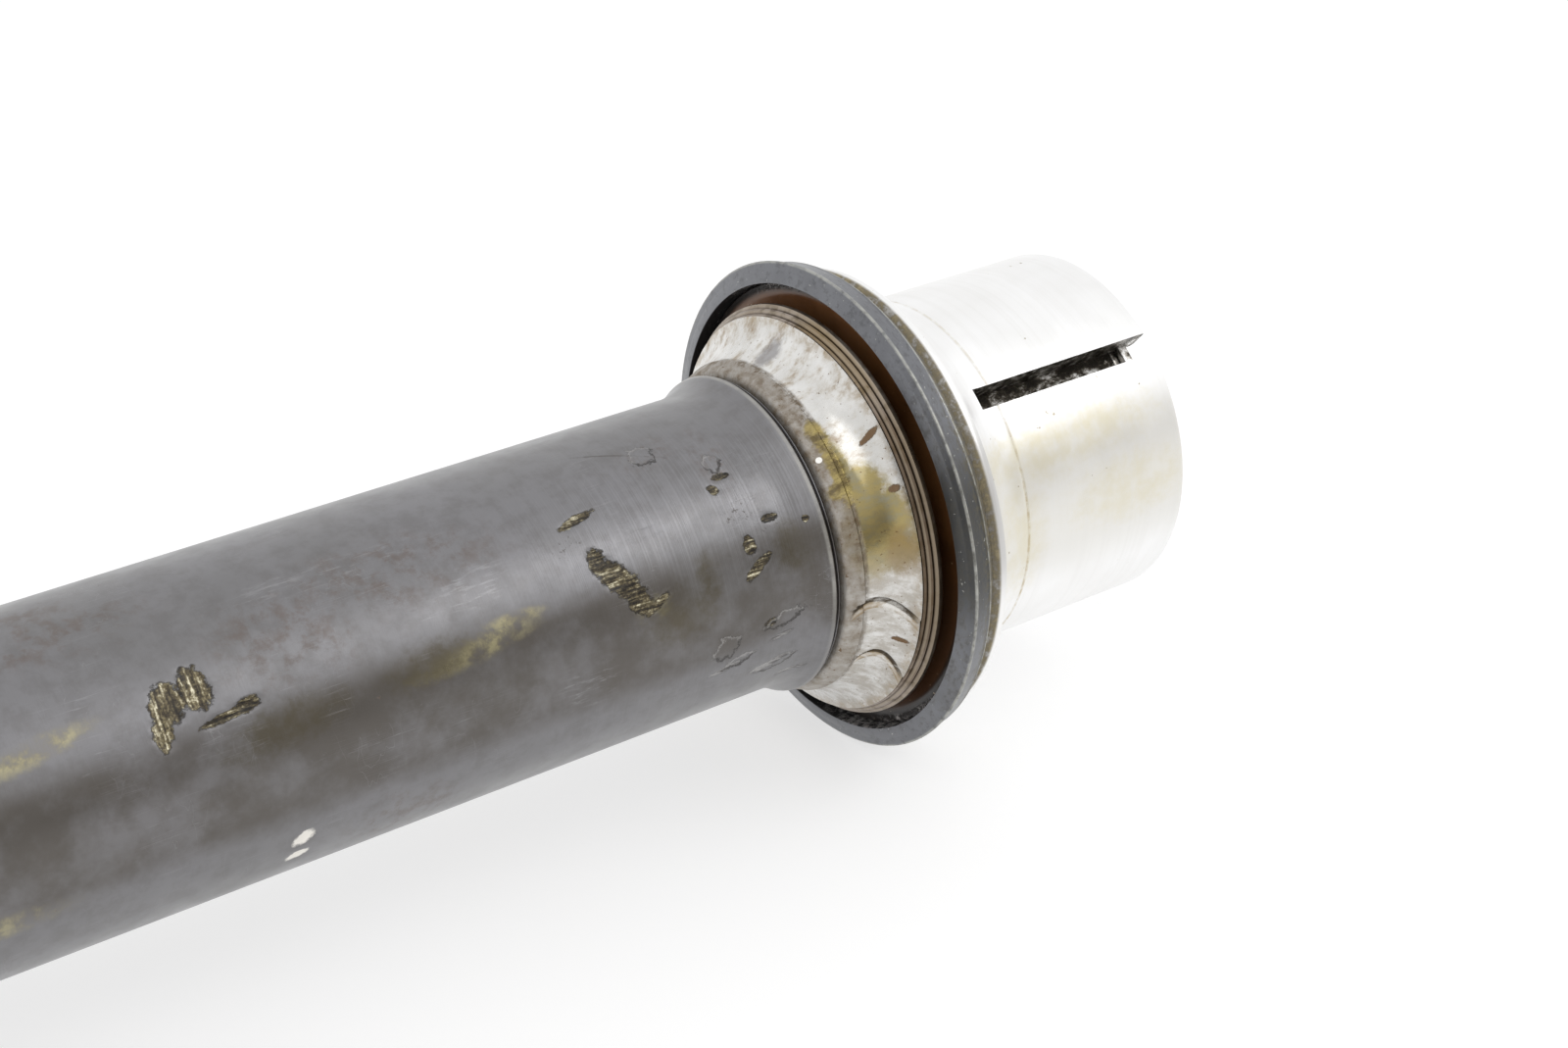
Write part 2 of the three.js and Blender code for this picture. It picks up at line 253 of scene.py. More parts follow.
class Paint:
    """One procedural material. Its x, radius and arc are in millimetres and its angle in radians."""

    def __init__(self, name, arc_radius=SHAFT_RADIUS):
        self.material = bpy.data.materials.new(name)
        self.material.use_nodes = True
        self.nodes = self.material.node_tree.nodes
        self.links = self.material.node_tree.links
        self.nodes.clear()
        point = self.node("ShaderNodeTexCoord").outputs["Object"]
        shifted = self.vector("SUBTRACT", point, (SEAL_FRONT, 0, 0))
        self.point = self.vector("SCALE", shifted, Scale=1 / MM)
        split = self.node("ShaderNodeSeparateXYZ", Vector=self.point).outputs
        self.x, y, z = (Number(self, split[axis]) for axis in "XYZ")
        self.angle = self.math("ARCTAN2", y * -1.0, z)
        self.arc = self.angle * arc_radius
        self.radius = self.math("SQRT", self.math("POWER", y, 2.0) + self.math("POWER", z, 2.0))
        self.arc_radius = arc_radius
        self.unrolled = self.node("ShaderNodeCombineXYZ", X=self.x, Y=self.arc, Z=self.radius).outputs[0]
        self.rag = None  # the noise that frays every patch's edge, made with the first patch

    def node(self, kind, **inputs):
        made = self.nodes.new(kind)
        for name, value in inputs.items():
            self.feed(made.inputs[name.replace("_", " ")], value)
        return made

    def feed(self, socket, value):
        if isinstance(value, Number):
            self.links.new(value.socket, socket)
        elif isinstance(value, bpy.types.NodeSocket):
            self.links.new(value, socket)
        elif isinstance(value, (int, float)) and hasattr(socket.default_value, "__len__"):
            socket.default_value = [value] * 3 + [1.0] * (len(socket.default_value) - 3)
        elif hasattr(value, "__len__") and len(socket.default_value) == 4:
            socket.default_value = [*value[:3], 1.0]
        else:
            socket.default_value = value

    def math(self, operation, *values):
        made = self.nodes.new("ShaderNodeMath")
        made.operation = operation
        for socket, value in zip(made.inputs, values):
            self.feed(socket, value)
        return Number(self, made.outputs[0])

    def larger(self, a, b):
        return self.math("MAXIMUM", a, b)

    def vector(self, operation, *values, **named):
        made = self.nodes.new("ShaderNodeVectorMath")
        made.operation = operation
        for socket, value in zip(made.inputs, values):
            self.feed(socket, value)
        for name, value in named.items():
            self.feed(made.inputs[name], value)
        return made.outputs[0]

    def noise(self, scale, detail=3, roughness=0.55, stretch=(1, 1, 1), seed=0, unrolled=False):
        """Noise of that many features a millimetre, packed closer along the axes where stretch is large."""
        source = self.unrolled if unrolled else self.point
        moved = self.vector("MULTIPLY_ADD", source, stretch, (seed, seed * 1.7, -seed))
        made = self.node("ShaderNodeTexNoise", Vector=moved, Scale=scale, Detail=detail,
                         Roughness=roughness)
        return Number(self, made.outputs["Fac"])

    def combed(self, scale, along, around, **looks):
        """Noise on the unrolled surface, packed closer along the axis and round it by those factors."""
        return self.noise(scale, stretch=(along, around, 1), unrolled=True, **looks)

    def turning(self, pitch, smear, **looks):
        """Fine rings round the axis, as a lathe leaves them."""
        return self.noise(1.0, stretch=(pitch, smear, smear), **looks)

    def step(self, value, low, high, out_low=0.0, out_high=1.0):
        """Goes smoothly from out_low to out_high as value goes from low to high."""
        made = self.nodes.new("ShaderNodeMapRange")
        made.interpolation_type = "SMOOTHSTEP"
        for socket, each in zip(made.inputs, (value, low, high, out_low, out_high)):
            self.feed(socket, each)
        return Number(self, made.outputs[0])

    def band(self, value, low, high, soft):
        """1 between low and high, fading out over soft."""
        return self.step(value, low - soft, low) * self.step(value, high, high + soft, 1.0, 0.0)

    def mix(self, share, first, second):
        made = self.nodes.new("ShaderNodeMix")
        made.data_type = "RGBA"
        self.feed(made.inputs["Factor"], share)
        self.feed(made.inputs[6], first)
        self.feed(made.inputs[7], second)
        return made.outputs[2]

    def ramp(self, value, *stops):
        """A colour ramp. A stop is (position, colour)."""
        made = self.nodes.new("ShaderNodeValToRGB")
        elements = made.color_ramp.elements
        while len(elements) < len(stops):
            elements.new(0.5)
        for element, (position, colour) in zip(elements, stops):
            element.position = position
            element.color = (*colour, 1.0)
        self.feed(made.inputs["Fac"], value)
        return made.outputs["Color"]

    def strongest(self, masks):
        result = masks[0]
        for each in masks[1:]:
            result = self.larger(result, each)
        return result

    def spot(self, x, degrees, half_length, half_width, tilt=0.0, ragged=0.5, soft=0.25, power=2.0):
        """A ragged patch on the turned surface, 1 inside and 0 outside."""
        turn = math.radians(tilt)
        dx = self.x - x
        dy = self.arc - math.radians(degrees) * self.arc_radius
        along = dx * math.cos(turn) + dy * math.sin(turn)
        across = dy * math.cos(turn) - dx * math.sin(turn)
        a = self.math("POWER", self.math("ABSOLUTE", self.math("DIVIDE", along, half_length)), power)
        b = self.math("POWER", self.math("ABSOLUTE", self.math("DIVIDE", across, half_width)), power)
        reach = self.math("POWER", a + b, 1 / power)
        if self.rag is None:
            self.rag = self.noise(1.3, detail=7, roughness=0.72, unrolled=True, seed=3)
        edge = self.rag * (2 * ragged) + (1 - ragged)
        return self.step(edge - reach, -soft / 2, soft / 2)

    def spots(self, marks, **looks):
        """Several patches at once. A mark is (x, degrees, half length, half width, tilt), or more."""
        return self.strongest([self.spot(*mark[:5], **looks) for mark in marks])

    def crease(self, ends, width):
        """A thin line along a parabola through three (x, degrees) points."""
        a, b, c = parabola(ends)
        path = self.x * b + a + self.math("POWER", self.x, 2.0) * c
        below = (self.angle - path) * self.arc_radius
        reach = self.band(self.x, ends[0][0] + 0.2, ends[-1][0] - 0.2, 0.5)
        return self.band(below, -0.05, width, 0.14) * reach

    def cover(self, share, colour, strength=1.0):
        """Lays a colour over the base where share is 1."""
        self.base = self.mix(share if strength == 1.0 else share * strength, self.base, colour)

    def finish(self, roughness, metallic, height, **constants):
        """Height is in millimetres. Constants go on the shader's own sockets."""
        shader = self.node("ShaderNodeBsdfPrincipled")
        self.feed(shader.inputs["Base Color"], self.base)
        self.feed(shader.inputs["Roughness"], roughness)
        self.feed(shader.inputs["Metallic"], metallic)
        for name, value in constants.items():
            shader.inputs[name.replace("_", " ")].default_value = value
        bump = self.node("ShaderNodeBump", Height=height, Distance=MM, Strength=1.0)
        self.links.new(bump.outputs[0], shader.inputs["Normal"])
        out = self.node("ShaderNodeOutputMaterial")
        self.links.new(shader.outputs[0], out.inputs["Surface"])
        return self.material


# Folds in the bearing ring's track: the (x, degrees) of three points on the path, and the depth.
RACE_CREASES = [
    ([(-7.4, 94.6), (-4.9, 91.2), (-2.2, 96.5)], 0.5),
    ([(-5.9, 118.0), (-4.1, 113.0), (-2.2, 119.0)], 0.4),
    ([(-6.4, -116.0), (-4.2, -120.0), (-2.6, -117.0)], 0.4),
]

# Gouges in the shaft: x, degrees, half length, half width, tilt, depth.
SCRAPED_ALONG = [
    (-31.6, 57, 3.3, 1.3, 53, 0.2),
    (-33.2, 48.5, 1.4, 0.95, 85, 0.2),
    (-30.2, 66.5, 1.5, 1.1, 50, 0.18),
    (-28.5, 69.3, 1.6, 0.42, -27, 0.18),
    (-33.4, 31.7, 2, 0.45, -12, 0.1),
    (-17.3, 60.5, 0.7, 1, 0, 0.12),
    (-16.9, 68.5, 1.8, 0.55, -32, 0.16),
    (-14.3, 53.2, 0.9, 0.4, 0, 0.1),
    (-10.8, 57.6, 0.35, 0.35, 0, 0.08),
    (-17.3, 33, 0.95, 0.36, 0, 0.12),
    (-18.7, 37.2, 0.65, 0.5, 40, 0.1),
    (-16.2, 91, 0.8, 0.42, -10, 0.1),
    (-71.2, 56.6, 2.6, 0.42, -7, 0.16),
    (-69.2, 55.2, 1.1, 0.65, -12, 0.2),
    (-55, -70, 2.4, 1.4, 20, 0.18),
    (-122, 150, 3.2, 1.8, 0, 0.2),
    (-36, 168, 2.2, 1.2, 30, 0.15),
]
SCRAPED_ROUND = [
    (-73.2, 45, 1.3, 2.1, 0, 0.2),
    (-75.9, 47, 1.6, 1.9, 20, 0.2),
    (-77, 54.6, 0.85, 1.8, 12, 0.22),
    (-108, -35, 3, 2.2, 30, 0.2),
    (-92, -140, 2, 2.6, 0, 0.2),
]
# Chips down to bright metal, and shallow scratches, with the same six numbers.
BARE_CHIPS = [
    (-66.2, 111, 1.1, 0.75, -40, 0.15),
    (-66.5, 120.5, 1.1, 0.5, -20, 0.12),
]
# Thin flakes lifted from the surface, without a depth: x, degrees, half length, half width, tilt.
FLAKES = [
    (-14.6, 91.4, 2.5, 0.95, -10),
    (-21.4, 95.6, 1.9, 1.35, -24),
    (-19.9, 103.5, 2, 0.7, -14),
    (-14.9, 112.5, 2.4, 0.9, -16),
    (-23.3, 14.5, 1.6, 1.5, -30),
    (-17.4, 27, 1, 1.3, 0),
    (-62, -35, 2.2, 1.2, 15),
    (-110, 80, 2.6, 1, -10),
]
WAVY_SCRATCH = [(-30.5, 2.5), (-26.5, 8.5), (-21.3, 18.6)]  # three (x, degrees) points on its path
SCRATCHES = [
    (-21.2, 105, 1.9, 0.3, -12, 0.08),
    (-14.9, 98.5, 1.3, 0.25, -10, 0.07),
    (-16, 112, 2.1, 0.5, -14, 0.08),
    (-12.4, 121, 1.6, 0.3, -16, 0.06),
    (-44, -50, 4, 0.4, 12, 0.07),
    (-100, 110, 4.5, 0.4, -10, 0.07),
]


def moved(marks, dx, degrees):
    """The same marks farther along the axis and round it."""
    return [(x + dx, angle + degrees, *rest) for x, angle, *rest in marks]


def shaft_steel():
    paint = Paint("shaft_steel")
    cloud = paint.noise(0.06, detail=5, seed=1)
    fine = paint.noise(0.5, detail=6, roughness=0.65, seed=2)
    paint.base = paint.ramp(cloud, (0.3, (0.18, 0.177, 0.18)), (0.7, (0.212, 0.209, 0.22)))
    paint.cover(paint.step(fine, 0.4, 0.68, 0.0, 0.42), (0.125, 0.118, 0.115))
    # Fine turning lines: real marks, painted paler near the shoulder and most within the lit band on the
    # upper near side as a painted highlight.
    turned = paint.turning(8.5, 0.02, detail=1, roughness=0.3, seed=61)
    near = paint.step(paint.x, -46.0, -24.0, 0.12, 1.0)
    lit = paint.band(paint.angle, 0.55, 1.0, 0.4)
    near = near * (lit * 0.75 + 0.25)
    cut = paint.step(turned, 0.4, 0.6) * near
    paint.cover(cut, (0.36, 0.36, 0.38), 0.17)
    # A warm dark band low on the near side, part oil film and part painted shade, with thin gold where the
    # oil has dried.
    side = paint.band(paint.angle, 1.12, 1.62, 0.22)
    oil_edge = paint.noise(0.16, detail=5, roughness=0.6, seed=3)
    oil = side * paint.step(oil_edge, 0.32, 0.62, 0.35, 1.0)
    paint.cover(oil, (0.085, 0.073, 0.06), 0.8)
    gold = paint.spots(
        [(-88, 48, 4.4, 0.9, -8), (-47.5, 63, 5.5, 1, -8), (-43, 57.5, 2.6, 0.6, 0),
         (-29, 70, 1.6, 1, 0), (-60, -100, 8, 1.5, 5), (-100, 100, 9, 1.2, 0)],
        ragged=0.5, soft=1.2)
    gold = gold * paint.step(fine, 0.36, 0.62, 0.15, 0.8)
    paint.cover(gold, paint.ramp(fine, (0.4, (0.16, 0.13, 0.06)), (0.6, (0.4, 0.36, 0.2))))
    olive = paint.spots(
        [(-66.5, 66, 5.2, 1.7, -6), (-52, 62, 4, 1.5, -6), (-26, 76, 3.4, 2.2, 0),
         (-12.8, 66, 1.6, 2.2, 0), (-22.5, 67, 1.2, 2.2, 0)],
        ragged=0.8, soft=1.3)
    olive = olive * paint.step(fine, 0.34, 0.64, 0.35, 0.8)
    paint.cover(olive, (0.085, 0.07, 0.042))
    # Rust specks and soft brown bloom, thicker away from the bearing ring.
    speck_noise = paint.noise(1.1, detail=6, roughness=0.7, seed=12)
    far = paint.step(paint.x, -25.0, -60.0, 0.0, 1.0)
    limit = 0.74 - far * 0.055
    rust = paint.step(speck_noise - limit, 0.0, 0.06, 0.0, 0.75)
    patch = paint.spots(
        [(-52, 27, 9, 3.4, 5), (-64, 38, 6, 4, 5), (-84, 8, 9, 3, 4),
         (-56, 118, 5, 3, 0), (-118, 20, 12, 8, 0), (-17.3, 24, 1.5, 3.2, 0),
         (-23, 13, 2.6, 2, -20), (-86, -4, 6, 2.5, 0), (-135, -60, 14, 9, 0),
         (-70, -110, 12, 6, 0), (-40, -160, 8, 6, 0), (-147, 170, 5, 16, 0)],
        ragged=0.8, soft=1.2)
    bloom = paint.step(paint.noise(0.6, detail=7, roughness=0.7, seed=21), 0.44, 0.64, 0.0, 0.5)
    rust = paint.larger(rust, patch * bloom)
    paint.cover(rust, (0.115, 0.078, 0.058))
    # Rubbed patches, faintly paler, and long fine scratches.
    rubbed = paint.spots(
        [(-45.5, 42, 3.4, 2.2, -10), (-37, 90, 3, 2, 0), (-58, 20, 10, 1.2, 0),
         (-30, -20, 8, 2, 0)],
        ragged=0.7, soft=1.0)
    streaks = paint.combed(1.2, 0.35, 2.0, detail=5, roughness=0.7, seed=26)
    rubbed = rubbed * paint.step(streaks, 0.5, 0.66, 0.0, 0.35)
    paint.cover(rubbed, (0.36, 0.36, 0.37))
    scratch = paint.combed(1.0, 0.05, 2.2, detail=2, roughness=0.4, seed=31)
    crossed = paint.combed(0.5, 1.3, 0.4, detail=2, roughness=0.4, seed=37)
    lines = paint.larger(paint.band(scratch, 0.497, 0.503, 0.004),
                         paint.band(crossed, 0.4985, 0.5015, 0.002))
    lines = lines * paint.step(paint.noise(0.12, detail=2, seed=41), 0.5, 0.7, 0.0, 0.6)
    paint.cover(lines, (0.36, 0.36, 0.37), 0.45)
    # The shoulder's polished edge, painted paler on the upper side as a highlight, and the groove beside it
    # painted dark as shade.
    polish_and_highlight = paint.band(paint.x, -9.55, -9.35, 0.22) * paint.step(fine, 0.3, 0.6, 0.25, 0.65)
    polish_and_highlight = polish_and_highlight * paint.step(paint.angle, 1.35, 1.7, 1.0, 0.35)
    paint.cover(polish_and_highlight, (0.42, 0.41, 0.38))
    groove_shade = paint.band(paint.x, -9.05, -8.3, 0.08)
    ridge = paint.band(paint.radius, 16.28, 16.5, 0.05)
    groove_shade = groove_shade * (1.0 - ridge * 0.8)
    paint.cover(groove_shade, (0.03, 0.025, 0.02), 0.85)
    # Scrapes: brown and dark with bare ridges that catch the light.
    along = paint.spots(SCRAPED_ALONG, ragged=0.75, soft=0.2)
    around = paint.spots(SCRAPED_ROUND, ragged=0.75, soft=0.2)
    scratched = paint.spots(SCRATCHES, ragged=0.6, soft=0.3)
    ridges = paint.combed(1.0, 0.4, 3.6, detail=4, roughness=0.6, seed=51)
    rings = paint.combed(1.0, 2.2, 0.25, detail=4, roughness=0.55, seed=53)
    grain = paint.noise(2.6, detail=5, roughness=0.7, seed=55)
    furrows = ridges * (1.0 - around) + rings * around
    tone = furrows * 0.6 + grain * 0.4
    ground = paint.ramp(tone, (0.4, (0.012, 0.009, 0.006)), (0.48, (0.06, 0.046, 0.026)),
                        (0.55, (0.2, 0.165, 0.09)), (0.62, (0.75, 0.7, 0.52)))
    scrape = paint.larger(along, around)
    paint.cover(scrape, ground)
    lifted = paint.ramp(streaks, (0.42, (0.07, 0.06, 0.055)), (0.58, (0.46, 0.45, 0.44)))
    paint.cover(scratched, lifted, 0.6)
    # Lifted flakes: a dark crescent painted on one side as shade and a pale crescent on the other as a
    # highlight.
    flake = paint.spots(FLAKES, ragged=0.9, soft=0.12, power=1.2)
    inside = paint.spots(moved(FLAKES, -0.1, -1.1), ragged=0.9, soft=0.2, power=1.2)
    beyond = paint.spots(moved(FLAKES, 0.1, 0.9), ragged=0.9, soft=0.2, power=1.2)
    dark = flake * (1.0 - inside)
    pale = flake * (1.0 - beyond)
    paint.cover(dark, (0.045, 0.04, 0.036), 0.85)
    paint.cover(pale, (0.4, 0.39, 0.38), 0.5)
    wavy = paint.crease(WAVY_SCRATCH, 0.02) * paint.step(fine, 0.4, 0.56, 0.1, 0.75)
    paint.cover(wavy, (0.08, 0.072, 0.065))
    peppered = [(-17.5, 48, 1.7, 1.2, -8), (-13.6, 56.5, 2.2, 0.6, -10), (-35.5, 40, 2.2, 0.8, -15)]
    pepper = paint.step(grain, 0.56, 0.62) * paint.spots(peppered, ragged=0.8, soft=0.8)
    paint.cover(pepper, (0.06, 0.052, 0.045), 0.85)
    bare = paint.spots(BARE_CHIPS, ragged=0.6, soft=0.5)
    paint.cover(bare, (0.85, 0.82, 0.76))
    mottle = paint.noise(2.4, detail=4, roughness=0.6, seed=71)
    height = cut * 0.008 + mottle * 0.005 + furrows * scrape * 0.4 + grain * scrape * 0.1
    height = height + streaks * scratched * 0.24 + flake * 0.07 + rust * 0.012 + lines * -0.01
    rough = paint.step(paint.noise(0.25, detail=5, seed=81), 0.3, 0.7, 0.34, 0.46)
    rough = rough + rust * 0.2 - gold * 0.1
    metallic = 0.9 - rust * 0.4
    return paint.finish(rough, metallic, height, Coat_Weight=0.55, Coat_Roughness=0.38, Coat_IOR=1.5)


def race_steel():
    paint = Paint("race_steel", arc_radius=18.5)
    cloud = paint.noise(0.2, detail=4, seed=2)
    paint.base = paint.ramp(cloud, (0.32, (0.6, 0.59, 0.565)), (0.7, (0.82, 0.815, 0.8)))
    fine = paint.combed(0.6, 0.6, 1.3, detail=7, roughness=0.68, seed=6)
    # Yellow-brown stains, thickest towards the top.
    stain = paint.step(fine, 0.42, 0.74, 0.0, 0.85)
    upper = paint.band(paint.angle, -1.3, 0.6, 0.4)
    stain = stain * (upper * 0.6 + 0.4)
    paint.cover(stain, paint.ramp(fine, (0.5, (0.5, 0.45, 0.36)), (0.68, (0.3, 0.21, 0.12))))
    # Olive-gold oil held in the track on the near side.
    oil = paint.spots(
        [(-5.2, 60, 2.2, 3, 0), (-5.6, 70, 2.4, 4.4, 0), (-3.8, 73, 2.2, 2.8, 0),
         (-6.2, 46, 1.1, 3.8, 0), (-5, 54, 2, 2.4, 0), (-3.2, 66, 1.2, 3.4, 0)],
        ragged=0.45, soft=0.5)
    oil = oil * paint.step(fine, 0.25, 0.6, 0.85, 1.0)
    paint.cover(oil, paint.ramp(fine, (0.34, (0.25, 0.225, 0.13)), (0.6, (0.36, 0.29, 0.13))))
    amber = paint.spot(-3.0, 76.0, 1.1, 2.4, soft=0.8)
    paint.cover(amber, (0.24, 0.16, 0.07), 0.6)
    # Greyer and darker low on the track, from about 90 to 155 degrees.
    lower = paint.band(paint.angle, 1.55, 2.7, 0.3) * paint.step(fine, 0.36, 0.6, 0.1, 0.8)
    paint.cover(lower, (0.42, 0.39, 0.345))
    # Grime on the small land and in the corner where the track starts.
    dirt = paint.noise(0.9, detail=6, roughness=0.7, seed=17)
    clean_side = paint.step(paint.angle, 1.2, 1.7, 1.0, 0.72)
    corner = paint.band(paint.x, -6.9, -6.15, 0.4) * paint.step(dirt, 0.34, 0.58, 0.3, 0.95)
    land = paint.band(paint.x, -8.6, -6.6, 0.3) * paint.step(dirt, 0.3, 0.7, 0.72, 0.9)
    grime = paint.larger(corner, land) * clean_side
    paint.cover(grime, paint.ramp(dirt, (0.36, (0.28, 0.25, 0.22)), (0.52, (0.22, 0.185, 0.145)),
                                  (0.68, (0.13, 0.085, 0.04))))
    wet = paint.spots([(-6.6, 33, 0.9, 2, 0), (-6.4, 47, 0.8, 3.4, 0), (-7.2, 52.5, 0.9, 0.9, 0)],
                      ragged=0.7, soft=0.5)
    paint.cover(wet, paint.ramp(fine, (0.4, (0.12, 0.085, 0.025)), (0.6, (0.45, 0.36, 0.13))), 0.85)
    # A small near-white dot on the land, painted as a glint on a drop.
    drop_glint = paint.spot(-7.6, 41.0, 0.32, 0.32, ragged=0.1)
    paint.cover(drop_glint, (0.9, 0.89, 0.86))
    flecks = paint.step(paint.noise(2.3, detail=3, seed=23), 0.66, 0.72, 0.0, 0.85)
    paint.cover(flecks, (0.14, 0.08, 0.035))
    # Lines along the folds painted dark as shade, with a pale strip beside each painted as a highlight;
    # brown nicks, and the large end's brown edge.
    halo = paint.strongest([paint.crease(ends, 1.1) for ends, _ in RACE_CREASES])
    halo = halo * paint.step(fine, 0.4, 0.6, 0.1, 0.85)
    paint.cover(halo, (0.3, 0.22, 0.12))
    lines = paint.strongest([paint.crease(ends, 0.4) for ends, _ in RACE_CREASES])
    lines = lines * paint.step(fine, 0.36, 0.52, 0.45, 0.95)
    nicks = [(-2.9, 41, 0.85, 0.3, -25), (-2.6, 57.4, 0.35, 0.35, 0), (-3, 106, 0.6, 0.3, 0)]
    nick = paint.spots(nicks, ragged=0.7, soft=0.3)
    marks = paint.larger(lines, nick)
    paint.cover(lines, (0.055, 0.042, 0.028))
    highlight_paths = [[(x, degrees + 2.3) for x, degrees in ends] for ends, _ in RACE_CREASES]
    lit = paint.strongest([paint.crease(ends, 0.12) for ends in highlight_paths])
    paint.cover(lit, (0.95, 0.93, 0.9), 0.22)
    paint.cover(nick, (0.17, 0.11, 0.065))
    edge = paint.step(paint.x, -2.7, -2.1) * paint.step(dirt, 0.42, 0.6, 0.1, 0.6)
    paint.cover(edge, (0.36, 0.28, 0.18))
    bruise = paint.spots([(-4.4, -6, 1.5, 1.2, 0)], ragged=0.7, soft=0.8)
    paint.cover(bruise, (0.22, 0.21, 0.22), 0.7)
    turned = paint.turning(5.0, 0.05, detail=1, roughness=0.3, seed=29)
    height = turned * 0.003 + paint.noise(1.6, detail=3, seed=33) * 0.006
    height = height + marks * -0.06 + grime * dirt * 0.12
    rough = paint.step(cloud, 0.3, 0.7, 0.21, 0.32)
    rough = rough + grime * 0.3 + stain * 0.15 - oil * 0.1
    metallic = 1.0 - grime * 0.4
    return paint.finish(rough, metallic, height)


def rim_steel():
    paint = Paint("rim_steel", arc_radius=21.8)
    cloud = paint.noise(0.16, detail=4, seed=5)
    paint.base = paint.ramp(cloud, (0.35, (0.2, 0.155, 0.12)), (0.65, (0.36, 0.31, 0.27)))
    dark = paint.step(paint.noise(0.7, detail=5, seed=9), 0.46, 0.66, 0.0, 0.75)
    paint.cover(dark, (0.085, 0.06, 0.033))
    # Painted shade: a darker brown band on the near side, from about 50 to 100 degrees.
    low = paint.band(paint.angle, 0.85, 1.75, 0.4)
    paint.cover(low, (0.09, 0.06, 0.033), 0.78)
    gold = paint.band(paint.angle, 0.1, 0.45, 0.2) * paint.band(paint.x, -1.8, -0.9, 0.2)
    paint.cover(gold, (0.24, 0.17, 0.08), 0.6)
    # Pale lines painted on the ridges' edges as highlights, and the grooves painted dark as shade.
    edges = paint.larger(paint.band(paint.x, -0.92, -0.74, 0.06), paint.band(paint.x, -1.46, -1.36, 0.05))
    paint.cover(edges, (0.45, 0.38, 0.28), 0.3)
    rim_groove_shade = paint.larger(paint.band(paint.x, -1.64, -1.52, 0.05), paint.band(paint.x, -1.12, -1.0, 0.05))
    rim_groove_shade = paint.larger(rim_groove_shade, paint.step(paint.x, -1.86, -1.93))
    paint.cover(rim_groove_shade, (0.05, 0.034, 0.019), 0.6)
    turned = paint.turning(6.0, 0.05, detail=1, seed=13)
    height = turned * 0.02 + paint.noise(2.4, detail=3, seed=19) * 0.01
    rough = paint.step(cloud, 0.3, 0.7, 0.24, 0.4)
    return paint.finish(rough, 0.9, height)


def seal_black():
    paint = Paint("seal_black", arc_radius=25.5)
    cloud = paint.noise(0.25, detail=5, seed=7)
    paint.base = paint.ramp(cloud, (0.3, (0.15, 0.153, 0.165)), (0.7, (0.2, 0.205, 0.22)))
    # Painted shade: a darker band low on the near side.
    painted_shade_band = paint.band(paint.angle, 1.16, 1.42, 0.34) * 0.85
    paint.cover(painted_shade_band, (0.05, 0.05, 0.048))
    # Pale worn edge lines.
    crest = paint.band(paint.x, 0.62, 0.82, 0.08) * paint.step(paint.radius, 25.9, 26.1)
    second = paint.band(paint.x, 2.78, 3.0, 0.08) * paint.step(paint.radius, 25.2, 25.4)
    rubbed = paint.noise(0.8, detail=5, seed=8)
    worn = paint.larger(crest, second) * paint.step(rubbed, 0.3, 0.6, 0.3, 0.9)
    paint.cover(worn, (0.42, 0.42, 0.39))
    # Olive dirt on the back edge.
    dirt = paint.noise(1.2, detail=6, roughness=0.7, seed=15)
    back = paint.step(paint.x, 3.05, 3.35) * paint.step(dirt, 0.36, 0.56, 0.3, 0.95)
    paint.cover(back, paint.ramp(dirt, (0.38, (0.045, 0.036, 0.02)), (0.65, (0.22, 0.185, 0.11))))
    # The recess inside the ring is painted near-black as shade, with pale crumbs on its wall.
    inner = paint.step(paint.radius, 24.15, 24.0) * paint.step(paint.x, 0.02, 0.12)
    paint.cover(inner, (0.012, 0.011, 0.011))
    crumbs = paint.step(paint.noise(1.3, detail=6, roughness=0.75, seed=25), 0.45, 0.55)
    heaps = [(1.6, -14, 3.2, 10, 0), (1.6, 142, 3.2, 13, 0), (1, -100, 2.6, 7, 0)]
    where = paint.spots(heaps, ragged=0.7, soft=0.6)
    crumbs = crumbs * where * inner
    paint.cover(crumbs, (0.5, 0.48, 0.47), 0.9)
    mottle = paint.noise(1.4, detail=6, roughness=0.75, stretch=(2.0, 0.8, 0.8), seed=55)
    paint.cover(paint.step(mottle, 0.5, 0.64, 0.0, 0.45), (0.07, 0.07, 0.072))
    soil = paint.band(paint.angle, 0.9, 2.0, 0.4) * paint.step(mottle, 0.42, 0.58, 0.0, 0.55)
    soil = soil * paint.step(paint.x, 1.6, 2.8, 0.25, 1.0)
    paint.cover(soil, (0.14, 0.12, 0.07))
    dust = paint.step(paint.noise(2.6, detail=3, seed=35), 0.69, 0.72, 0.0, 0.8)
    paint.cover(dust, (0.5, 0.5, 0.46))
    height = paint.noise(3.0, detail=4, seed=45) * 0.012 + crumbs * 0.12 + back * 0.05
    rough = paint.step(cloud, 0.3, 0.7, 0.3, 0.42)
    rough = rough + paint.larger(inner, back) * 0.35
    metallic = 0.8 - paint.larger(inner, back) * 0.6
    return paint.finish(rough, metallic, height)


